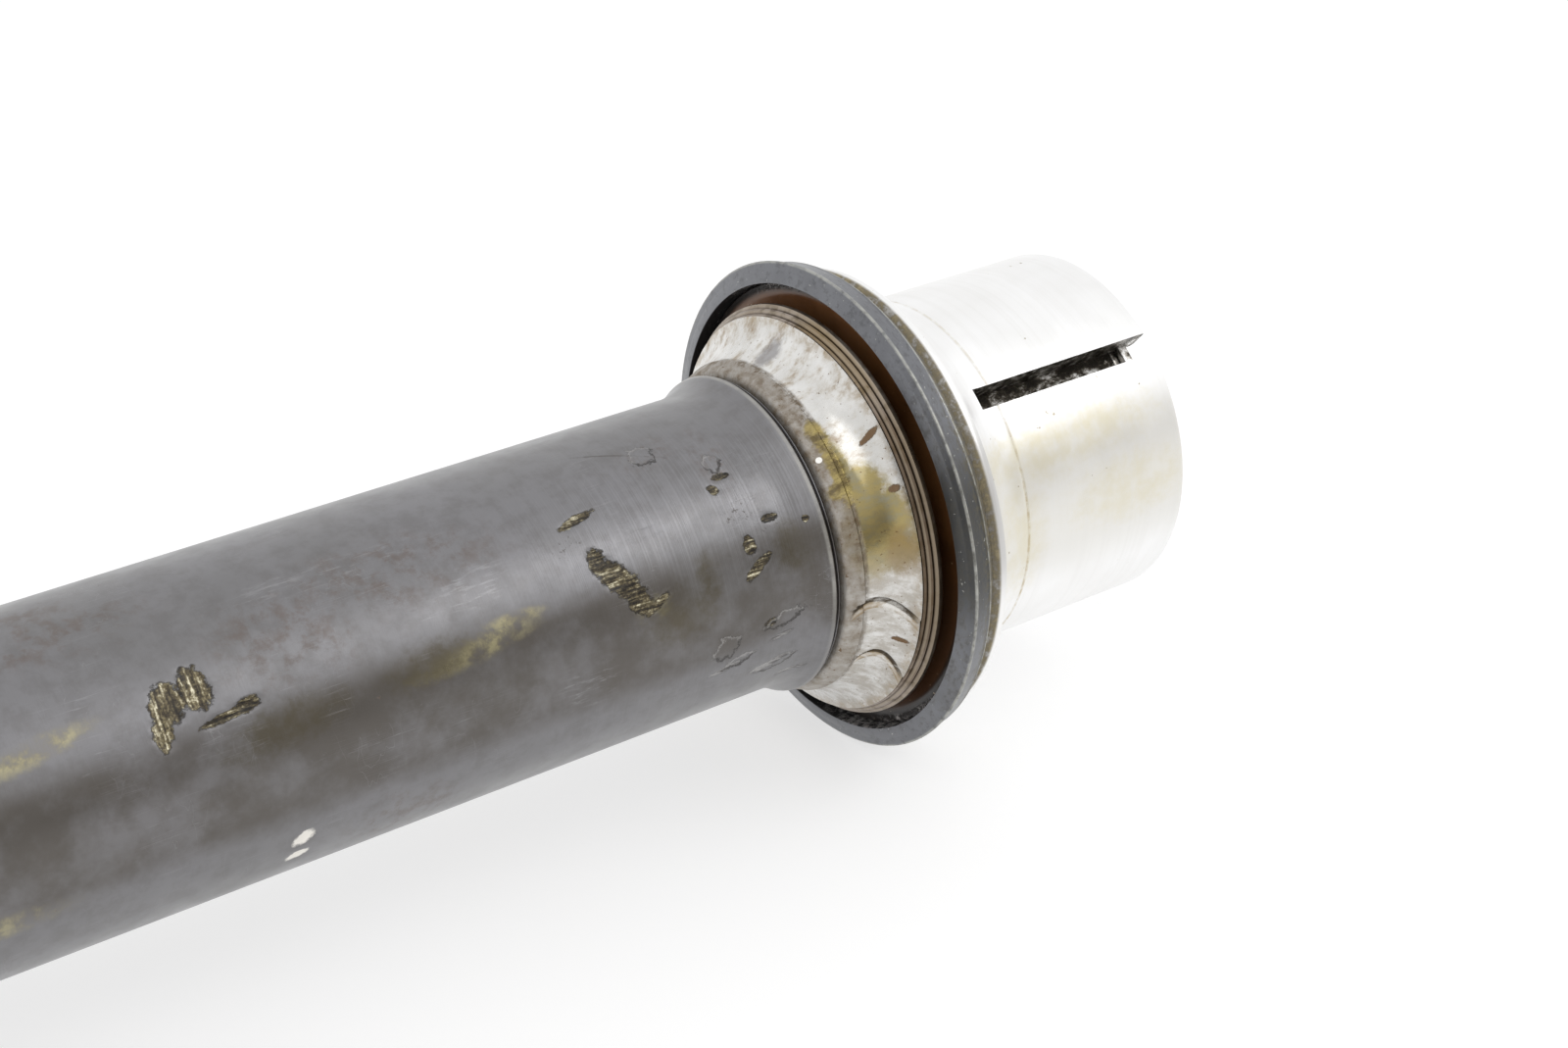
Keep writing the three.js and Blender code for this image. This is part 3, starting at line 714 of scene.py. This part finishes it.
def lip_brown():
    paint = Paint("lip_brown", arc_radius=23.0)
    cloud = paint.noise(0.12, detail=3, seed=3)
    amber = paint.ramp(cloud, (0.35, (0.085, 0.032, 0.01)), (0.65, (0.17, 0.072, 0.024)))
    # Painted shade darker low down, and a painted shadow fading to near-black towards the seal ring's rim.
    low = paint.step(paint.angle, 1.0, 1.9, 0.0, 0.7)
    amber = paint.mix(low, amber, (0.05, 0.022, 0.01))
    rim_shadow = paint.step(low * 0.75 + paint.radius, 22.5, 23.4)
    paint.base = paint.mix(rim_shadow, amber, (0.016, 0.012, 0.01))
    # Pale crumbs of old grease in the corner, at the top and low on the near side.
    crumbs = paint.step(paint.noise(1.1, detail=7, roughness=0.75, seed=27), 0.48, 0.58)
    where = paint.larger(paint.band(paint.angle, -0.5, 0.05, 0.15),
                         paint.band(paint.angle, 2.15, 2.65, 0.15))
    crumbs = crumbs * where * paint.step(paint.radius, 22.9, 23.5)
    paint.cover(crumbs, (0.42, 0.39, 0.38), 0.85)
    specks = paint.step(paint.noise(2.6, detail=2, seed=11), 0.72, 0.75, 0.0, 0.8)
    paint.cover(specks, (0.5, 0.4, 0.28))
    height = paint.noise(0.9, detail=4, seed=16) * 0.015 + crumbs * 0.15
    rough = paint.step(cloud, 0.3, 0.7, 0.28, 0.4)
    return paint.finish(rough, 0.0, height)


def sleeve_steel():
    paint = Paint("sleeve_steel", arc_radius=SLEEVE_RADIUS)
    cloud = paint.noise(0.12, detail=4, seed=2.5)
    paint.base = paint.ramp(cloud, (0.3, (0.88, 0.875, 0.865)), (0.7, (0.945, 0.945, 0.945)))
    # Faint yellow film on the near side.
    fine = paint.noise(0.5, detail=5, seed=8.5)
    film = paint.spots([(15, 62, 6, 2.6, 0), (21, 60, 9, 2.4, 0), (27, 82, 7, 3, 0),
                        (12.5, 84, 2.6, 6, 0), (20, -95, 8, 4, 0)], ragged=0.7, soft=1.3)
    film = film * paint.step(fine, 0.3, 0.65, 0.25, 0.8)
    paint.cover(film, (0.8, 0.74, 0.54))
    # Painted shade low on the near side, and a painted dark reflection on the flange's near side.
    shade = paint.band(paint.angle, 1.2, 1.6, 0.35) * paint.step(paint.x, 5.0, 7.0)
    paint.cover(shade, (0.66, 0.64, 0.58), 0.45)
    rim = paint.band(paint.angle, 1.02, 1.4, 0.25) * paint.step(paint.x, 9.0, 5.5)
    paint.cover(rim, (0.44, 0.43, 0.42), 0.6)
    # The step line, the dirt behind the seal ring, and small brown specks.
    dirt = paint.noise(1.0, detail=6, roughness=0.7, seed=18)
    line = paint.band(paint.x, 13.15, 13.35, 0.12)
    line = line * paint.step(dirt, 0.4, 0.6, 0.12, 0.6)
    line = line * paint.step(paint.angle, 0.6, 1.4, 0.5, 1.0)
    paint.cover(line, (0.5, 0.4, 0.22))
    front = paint.step(paint.x, 5.3, 4.95)
    grime = front * paint.step(dirt, 0.34, 0.54, 0.6, 0.97)
    paint.cover(grime, paint.ramp(dirt, (0.4, (0.1, 0.08, 0.045)), (0.65, (0.33, 0.28, 0.17))))
    specks = paint.step(paint.noise(0.9, detail=3, seed=28), 0.735, 0.75, 0.0, 0.75)
    paint.cover(specks, (0.34, 0.27, 0.17))
    drip = paint.step(paint.noise(2.2, detail=4, seed=38), 0.71, 0.74, 0.0, 0.7)
    drip = drip * paint.step(paint.x, 13.0, 9.0)
    paint.cover(drip, (0.45, 0.34, 0.18))
    turned = paint.turning(1.6, 0.02, detail=3, roughness=0.6, seed=48)
    paint.cover(paint.step(turned, 0.45, 0.7, 0.0, 0.12), (0.72, 0.71, 0.68))
    height = turned * 0.006 + paint.noise(0.5, detail=3, seed=58) * 0.003 + grime * 0.05
    rough = paint.step(cloud, 0.3, 0.7, 0.38, 0.48)
    rough = rough + grime * 0.3
    return paint.finish(rough, 0.95 - grime * 0.5, height)


def slot_grime():
    paint = Paint("slot_grime", arc_radius=SLEEVE_RADIUS)
    dirt = paint.noise(0.9, detail=7, roughness=0.72, seed=4.5)
    # Dark grime with painted white glints.
    paint.base = paint.ramp(dirt, (0.4, (0.03, 0.026, 0.02)), (0.47, (0.09, 0.08, 0.06)),
                      (0.53, (0.35, 0.33, 0.3)), (0.6, (0.9, 0.89, 0.87)))
    height = dirt * 0.4
    return paint.finish(0.3, 0.85, height)


def ground_steel():
    paint = Paint("ground_steel", arc_radius=10.0)
    cloud = paint.noise(0.2, detail=4, seed=6.5)
    paint.base = paint.ramp(cloud, (0.3, (0.5, 0.5, 0.5)), (0.7, (0.68, 0.68, 0.67)))
    film = paint.step(paint.noise(0.35, detail=5, seed=9.5), 0.5, 0.7, 0.0, 0.5)
    paint.cover(film, (0.46, 0.4, 0.28))
    grease = near_slot(paint) * paint.step(paint.radius, 12.5, 14.0, 0.0, 0.95)
    grit = paint.noise(1.1, detail=7, roughness=0.72, seed=4)
    paint.cover(grease, paint.ramp(grit, (0.42, (0.03, 0.026, 0.02)), (0.6, (0.4, 0.38, 0.35))))
    turned = paint.turning(5.0, 0.05, detail=1, seed=10.5)
    height = turned * 0.002
    return paint.finish(paint.step(cloud, 0.3, 0.7, 0.1, 0.22), 1.0, height)


def near_slot(paint):
    """1 where a piece inside the sleeve shows through the slot."""
    return paint.band(paint.angle, math.radians(SLOT_ANGLE - 9), math.radians(SLOT_ANGLE + 9), 0.05)


def liner_steel():
    paint = Paint("liner_steel", arc_radius=16.0)
    dirt = paint.noise(0.9, detail=7, roughness=0.72, stretch=(0.7, 1, 1), seed=7.5)
    seen = near_slot(paint)
    clean = paint.ramp(dirt, (0.3, (0.5, 0.5, 0.49)), (0.7, (0.64, 0.63, 0.62)))
    # Seen through the slot: dark grime with painted white glints, brighter on the slot's lower side.
    lower = paint.step(paint.angle, math.radians(SLOT_ANGLE - 3), math.radians(SLOT_ANGLE + 3), -0.07, 0.07)
    grime_and_glints = paint.ramp(dirt + lower, (0.42, (0.018, 0.015, 0.011)), (0.5, (0.07, 0.06, 0.045)),
                       (0.56, (0.36, 0.34, 0.31)), (0.62, (0.9, 0.89, 0.88)))
    paint.base = paint.mix(seen, clean, grime_and_glints)
    height = dirt * seen * 0.35
    return paint.finish(paint.step(seen, 0.0, 1.0, 0.18, 0.3), 0.85, height)


def spring_steel():
    paint = Paint("spring_steel", arc_radius=16.0)
    cloud = paint.noise(0.6, detail=4, seed=5.5)
    paint.base = paint.ramp(cloud, (0.3, (0.2, 0.195, 0.19)), (0.7, (0.34, 0.335, 0.33)))
    dirt = paint.noise(1.1, detail=7, roughness=0.72, seed=7.5)
    # Near the slot: dark grime with painted white glints.
    grime_and_glints = paint.ramp(dirt, (0.4, (0.06, 0.052, 0.042)), (0.5, (0.35, 0.33, 0.3)),
                       (0.6, (0.8, 0.79, 0.78)))
    paint.cover(near_slot(paint), grime_and_glints)
    height = paint.noise(3.0, detail=3, seed=6) * 0.01
    return paint.finish(paint.step(cloud, 0.3, 0.7, 0.28, 0.42), 1.0, height)


def cage_brass():
    paint = Paint("cage_brass", arc_radius=12.0)
    cloud = paint.noise(0.3, detail=4, seed=8)
    paint.base = paint.ramp(cloud, (0.3, (0.5, 0.34, 0.13)), (0.7, (0.66, 0.48, 0.22)))
    turned = paint.turning(4.0, 0.05, detail=1, seed=18.5)
    return paint.finish(paint.step(cloud, 0.3, 0.7, 0.24, 0.38), 1.0, turned * 0.006)


# ---- pieces

def build_shaft(material):
    shoulder = -8.4
    outer = [(x, SHAFT_RADIUS) for x in stations(SHAFT_END + 1.2, -13.2, 0.36)]
    flare = [(-12.6, 15.54), (-11.8, 15.68), (-11.1, 15.9), (-10.5, 16.15), (-10.0, 16.42), (-9.7, 16.6),
             (-9.5, 16.72), (-9.34, 16.75), (-9.2, 16.68), (-9.1, 16.5), (-9.0, 16.2), (-8.92, 16.1),
             (-8.84, 16.2), (-8.76, 16.4), (-8.66, 16.4), (-8.58, 16.1), (shoulder, 16.0)]
    chamfer = [(SHAFT_END, 14.5), (SHAFT_END + 0.15, 14.62), (SHAFT_END + 0.85, 15.35),
               (SHAFT_END + 1.0, 15.46)]
    bore = [(SHAFT_END + 28, SHAFT_BORE), (SHAFT_END + 0.5, SHAFT_BORE), (SHAFT_END + 0.1, 9.15),
            (SHAFT_END, 9.5)]
    socket = [(shoulder, 15.0), (-0.5, 15.0), (-0.1, 14.6), (-0.1, SPINDLE_RADIUS + GAP),
              (SPINDLE_START - GAP, SPINDLE_RADIUS + GAP), (SPINDLE_START - GAP, SHAFT_BORE)]
    mesh = lathe("shaft_skin", bore + chamfer + outer + flare + socket, sides=360)
    sink(mesh, SCRAPED_ALONG + SCRAPED_ROUND + BARE_CHIPS + SCRATCHES, SHAFT_RADIUS, lowest=15.2)
    finish_mesh("shaft_skin", mesh, material, "shaft", "shaft_tube")


def build_race(material):
    start, end, bore = -8.35, -2.05, 15.05
    track_start, track_hollow = -6.15, 6.0
    track = arc((start, 17.4), (end, 21.1), track_hollow, 36)
    track = [p for p in track if p[0] > track_start]
    land = [(start, 16.0), (-8.24, 16.5), (-8.12, 16.85), (-7.95, 17.03), (-7.3, 17.3), (-6.75, 17.5),
            (-6.5, 17.64), (-6.38, 17.6), (-6.28, 17.48)]
    back = [(end, 20.9), (end, bore)]
    mesh = lathe("race_ring", [(start, bore)] + land + track + back, sides=720)
    fold(mesh, RACE_CREASES, 18.5)
    finish_mesh("race_ring", mesh, material, "shaft", "bearing_inner_ring")


def build_thrust_washer(material):
    section = [(-1.95, 15.1), (-1.95, 20.95), (-1.88, 21.1), (-1.7, 21.22), (-1.62, 21.1), (-1.55, 21.12),
               (-1.48, 21.34), (-1.4, 21.5), (-1.18, 21.66), (-1.1, 21.5), (-1.02, 21.52), (-0.96, 21.74),
               (-0.86, 21.94), (-0.74, 22.03), (-0.62, 22.04), (-0.35, 22.04), (-0.2, 21.9), (-0.2, 15.1)]
    mesh = lathe("rim_ring", section, sides=480)
    finish_mesh("rim_ring", mesh, material, "washer", "thrust_washer")


def build_seal(black, brown, spring):
    bevel = [(0.0, 24.05), (0.06, 24.3), (0.3, 25.1), (0.36, 25.2), (0.44, 25.4), (0.6, 26.0),
             (0.66, 26.14), (0.76, SEAL_RADIUS), (0.9, 26.14), (1.3, 26.02), (2.3, 25.72), (2.7, 25.6),
             (2.82, 25.62), (2.95, 25.52), (3.1, 25.32), (3.7, 24.75), (3.88, 24.6), (3.95, 24.45)]
    shell = bevel + [(3.95, 17.05), (2.95, 17.05), (2.95, 23.9), (2.85, 24.0), (0.2, 24.0)]
    shell = lathe("seal_shell", shell, sides=400)
    finish_mesh("seal_shell", shell, black, "bushing", "seal_ring")
    lip = [(2.9, 23.95), (1.9, 23.95), (1.62, 23.7), (1.6, 23.3), (1.45, 22.9), (1.5, 22.3), (1.7, 21.8),
           (1.7, 12.9), (1.62, 11.95), (1.2, 11.6), (0.35, 11.05), (0.2, 10.9), (0.22, 10.3), (0.35, 10.2),
           (0.9, 10.2), (1.1, 10.3), (2.9, 11.8)]
    lip = lathe("lip_disc", lip, sides=320)
    finish_mesh("lip_disc", lip, brown, "bushing", "seal_lip")
    coil = coil_mesh(x=0.95, ring_radius=12.2, coil_radius=0.32, wire_radius=0.09, turns=150)
    finish_mesh("garter_coil", coil, spring, "bushing", "garter_spring")


def coil_mesh(x, ring_radius, coil_radius, wire_radius, turns):
    """A fine coil bent round into a ring."""
    steps, sides = turns * 10, 5
    bm = bmesh.new()
    rings = []
    for i in range(steps):
        round_ring = 2 * math.pi * i / steps
        round_coil = round_ring * turns
        ring = []
        for k in range(sides):
            a = 2 * math.pi * k / sides
            reach = coil_radius + wire_radius * math.cos(a)
            along = wire_radius * math.sin(a) / ring_radius
            centre_x = x + reach * math.cos(round_coil)
            radius = ring_radius + reach * math.sin(round_coil)
            ring.append(bm.verts.new(place(centre_x, radius, round_ring + along)))
        rings.append(ring)
    for low, high in zip(rings, rings[1:] + rings[:1]):
        for k in range(sides):
            bm.faces.new([low[k], low[(k + 1) % sides], high[(k + 1) % sides], high[k]])
    return mesh_from(bm, "garter_coil")


def slot_cutter():
    """The box that cuts the slot, turned to its place."""
    inside, outside, past_end = 15.0, 24.0, 2
    bm = bmesh.new()
    bmesh.ops.create_cube(bm, size=1.0)
    turn = math.radians(SLOT_ANGLE)
    for vert in bm.verts:
        x = SLOT_START if vert.co.x < 0 else SLEEVE_END + past_end
        side = vert.co.y * SLOT_WIDTH
        out = inside if vert.co.z < 0 else outside
        y = -out * math.sin(turn) + side * math.cos(turn)
        z = out * math.cos(turn) + side * math.sin(turn)
        vert.co = Vector((SEAL_FRONT + x * MM, y * MM, z * MM))
    return mesh_from(bm, "slot_cutter")


def build_sleeve(material, grime):
    fillet = arc((6.0, 24.2), (12.8, 18.97), 6.8, 20)
    flange = [(3.05, 11.5), (3.05, 16.95), (4.0, 17.0), (4.0, 23.4), (4.15, 23.65), (4.9, 24.3),
              (5.2, 24.4), (5.6, 24.38)]
    step_line = [(13.15, 18.93), (13.25, 18.88), (13.35, 18.93), (13.6, SLEEVE_RADIUS)]
    end = [(SLEEVE_END - 0.45, SLEEVE_RADIUS), (SLEEVE_END - 0.15, 18.85), (SLEEVE_END, 18.6),
           (SLEEVE_END, 16.35), (SLEEVE_END - 0.3, 16.05)]
    ring_start, ring_end = span("retaining_ring")
    groove, start, stop = 16.9, ring_start - GAP, ring_end + GAP
    inside = [(stop, SLEEVE_BORE), (stop, groove), (start, groove), (start, SLEEVE_BORE),
              (5.0, SLEEVE_BORE), (5.0, STOP_BORE)]
    section = flange + fillet + step_line + end + inside
    body = add_object("sleeve_cut", lathe("sleeve_cut", section, sides=360))
    cutter = add_object("slot_cutter", slot_cutter())
    for each in (body, cutter):
        each.data.materials.append(material)
        each.data.materials.append(grime)
    for face in cutter.data.polygons:
        face.material_index = 1
    cut = body.modifiers.new("slot", "BOOLEAN")
    cut.object = cutter
    cut.operation = "DIFFERENCE"
    cut.solver = "EXACT"
    bpy.context.view_layer.update()
    mesh = bpy.data.meshes.new_from_object(body.evaluated_get(bpy.context.evaluated_depsgraph_get()))
    for each in (body, cutter):
        bpy.data.objects.remove(each)
    indices = [p.material_index for p in mesh.polygons]
    finish_mesh("slotted_sleeve", mesh, [material, grime], "bushing", "outer_sleeve")
    mesh.polygons.foreach_set("material_index", indices)


def build_ring(name, node, material, bore):
    """A plain turned ring in the sleeve, between a CAD node's two end faces, with eased edges."""
    start, end = span(node)
    outer, ease = SLEEVE_BORE - GAP, 0.12
    section = eased([(start, bore), (start, outer), (end, outer), (end, bore)], ease)
    finish_mesh(name, lathe(name, section, sides=200), material, "bushing", node)


def build_spindle(material):
    tip = [(SPINDLE_END - 1.0, SPINDLE_RADIUS), (SPINDLE_END - 0.85, 9.96), (SPINDLE_END - 0.1, 9.25),
           (SPINDLE_END, 9.1), (SPINDLE_END, 2.3), (SPINDLE_END - 0.15, 2.1), (SPINDLE_END - 2.0, 0.3),
           (SPINDLE_END - 2.1, 0.0)]
    section = [(SPINDLE_START, 0.0), (SPINDLE_START, 9.6), (SPINDLE_START + 0.4, SPINDLE_RADIUS)] + tip
    mesh = lathe("spindle_rod", section, sides=240, closed=False)
    finish_mesh("spindle_rod", mesh, material, "shaft", "guide_spindle")


def build_retaining_ring(material):
    """An open ring with an eye at each end, its gap at the bottom."""
    start, end = span("retaining_ring")
    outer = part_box("retaining_ring")[1].z / MM
    inner, half_gap, lug, eye = outer - 2.0, math.radians(24), 1.7, 0.7
    steps, eye_steps = 120, 28
    bm = bmesh.new()

    def outline(radius):
        sweep = 2 * math.pi - 2 * half_gap
        return [place(start, radius, math.pi + half_gap + sweep * i / steps) for i in range(steps + 1)]

    outside = [bm.verts.new(p) for p in outline(outer)]
    inside = [bm.verts.new(p) for p in outline(inner)]
    faces = [bm.faces.new([outside[i], outside[i + 1], inside[i + 1], inside[i]]) for i in range(steps)]
    for angle in (math.pi + half_gap, math.pi - half_gap):
        centre = Vector(place(start, inner, angle))
        circle = [2 * math.pi * k / eye_steps for k in range(eye_steps)]
        rim = [bm.verts.new(centre + Vector((0, math.cos(a), math.sin(a))) * lug * MM) for a in circle]
        hole = [bm.verts.new(centre + Vector((0, math.cos(a), math.sin(a))) * eye * MM) for a in circle]
        faces += [bm.faces.new([rim[k], rim[k - 1], hole[k - 1], hole[k]]) for k in range(eye_steps)]
    grown = bmesh.ops.extrude_face_region(bm, geom=faces)
    for vert in [g for g in grown["geom"] if isinstance(g, bmesh.types.BMVert)]:
        vert.co.x += (end - start) * MM
    mesh = mesh_from(bm, "circlip")
    piece = finish_mesh("circlip", mesh, material, "bushing", "retaining_ring")
    bevel = piece.modifiers.new("edges", "BEVEL")
    bevel.width = 0.08 * MM
    bevel.segments = 2


def build_balls(material):
    for node in sorted(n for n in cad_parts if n.startswith("ball_row")):
        low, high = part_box(node)
        bm = bmesh.new()
        bmesh.ops.create_icosphere(bm, subdivisions=3, radius=(high.x - low.x) / 2)
        bmesh.ops.translate(bm, verts=bm.verts, vec=(low + high) / 2)
        name = node + "_smooth"
        finish_mesh(name, mesh_from(bm, name), material, "cage", node)


def build_all():
    ground, spring = ground_steel(), spring_steel()
    build_shaft(shaft_steel())
    build_race(race_steel())
    build_thrust_washer(rim_steel())
    build_seal(seal_black(), lip_brown(), spring)
    build_sleeve(sleeve_steel(), slot_grime())
    build_spindle(ground)
    build_ring("liner_sleeve", "raceway_liner", liner_steel(), LINER_BORE)
    build_ring("front_stop", "front_stop_washer", ground, STOP_BORE)
    build_ring("rear_stop", "rear_stop_washer", ground, STOP_BORE)
    build_retaining_ring(spring)
    build_balls(ground)
    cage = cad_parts["ball_cage"]
    cage.data.materials.clear()
    cage.data.materials.append(cage_brass())


# ---- stage, light and camera

WORLD_WHITE = 0.99
DARK_SIDE = 0.42  # the dim room's brightness
FLOOR_SIZE = 12.0  # metres
FLOOR_GLOW = 0.6
FLOOR_WHITE = 0.42
# Each softbox: direction from the object, distance, width, height and radiance.
SOFTBOXES = {
    "key_softbox": ((0.5, -0.5, 0.7), 0.8, 0.42, 0.3, 2.2),
    "side_softbox": ((-0.48, -0.4, 0.78), 0.8, 0.42, 0.5, 0.9),
}
CAMERA_FROM_SEAL = Vector((-143.8, -198.0, 136.4))  # millimetres from the seal's front, on the axis
CAMERA_AZIMUTH = -35.27
CAMERA_ELEVATION = 29.46
CAMERA_LENS = 61.9
CAMERA_SENSOR = 36.0


def build_floor():
    mesh = bpy.data.meshes.new("floor")
    half = FLOOR_SIZE / 2
    corners = [(-half, -half), (half, -half), (half, half), (-half, half)]
    mesh.from_pydata([(x, y, FLOOR_Z) for x, y in corners], [], [(0, 1, 2, 3)])
    floor = add_object("floor", mesh)
    material = bpy.data.materials.new("pale_floor")
    material.use_nodes = True
    shader = material.node_tree.nodes["Principled BSDF"]
    shader.inputs["Base Color"].default_value = (FLOOR_WHITE, FLOOR_WHITE, FLOOR_WHITE, 1.0)
    shader.inputs["Roughness"].default_value = 0.9
    shader.inputs["Specular IOR Level"].default_value = 0.1
    shader.inputs["Emission Color"].default_value = (1.0, 1.0, 1.0, 1.0)
    shader.inputs["Emission Strength"].default_value = FLOOR_GLOW
    mesh.materials.append(material)


def build_world():
    """White surroundings with a dim room low down on the viewer's side."""
    world = bpy.data.worlds.new("studio")
    bpy.context.scene.world = world
    world.use_nodes = True
    nodes, links = world.node_tree.nodes, world.node_tree.links
    split = nodes.new("ShaderNodeSeparateXYZ")
    links.new(nodes.new("ShaderNodeTexCoord").outputs["Generated"], split.inputs[0])

    def smooth(socket, low, high):
        made = nodes.new("ShaderNodeMapRange")
        made.interpolation_type = "SMOOTHSTEP"
        made.inputs["From Min"].default_value = low
        made.inputs["From Max"].default_value = high
        links.new(socket, made.inputs["Value"])
        return made.outputs[0]

    both = nodes.new("ShaderNodeMath")
    both.operation = "MULTIPLY"
    links.new(smooth(split.outputs["Y"], -0.3, -0.78), both.inputs[0])
    links.new(smooth(split.outputs["Z"], 0.5, 0.12), both.inputs[1])
    mix = nodes.new("ShaderNodeMix")
    mix.data_type = "RGBA"
    mix.inputs[6].default_value = (WORLD_WHITE, WORLD_WHITE, WORLD_WHITE, 1.0)
    mix.inputs[7].default_value = (DARK_SIDE * 1.05, DARK_SIDE, DARK_SIDE * 0.92, 1.0)
    links.new(both.outputs[0], mix.inputs["Factor"])
    links.new(mix.outputs[2], nodes["Background"].inputs["Color"])


def build_lights():
    for name, (direction, distance, width, height, radiance) in SOFTBOXES.items():
        data = bpy.data.lights.new(name, "AREA")
        data.shape = "RECTANGLE"
        data.size, data.size_y = width, height
        data.energy = radiance * math.pi * width * height
        light = add_object(name, data)
        towards = Vector(direction).normalized()
        light.location = Vector((SEAL_FRONT, 0, 0)) + towards * distance
        light.rotation_euler = towards.to_track_quat("Z", "Y").to_euler()


def build_camera():
    data = bpy.data.cameras.new("camera")
    data.lens = CAMERA_LENS
    data.sensor_width = CAMERA_SENSOR
    data.clip_start, data.clip_end = 0.01, 20.0
    camera = add_object("camera", data)
    camera.location = Vector((SEAL_FRONT, 0, 0)) + CAMERA_FROM_SEAL * MM
    camera.rotation_euler = (math.radians(90 - CAMERA_ELEVATION), 0, math.radians(CAMERA_AZIMUTH))
    bpy.context.scene.camera = camera


build_camera()
build_world()
build_floor()
build_lights()
build_all()
bpy.context.scene.view_settings.view_transform = "Standard"
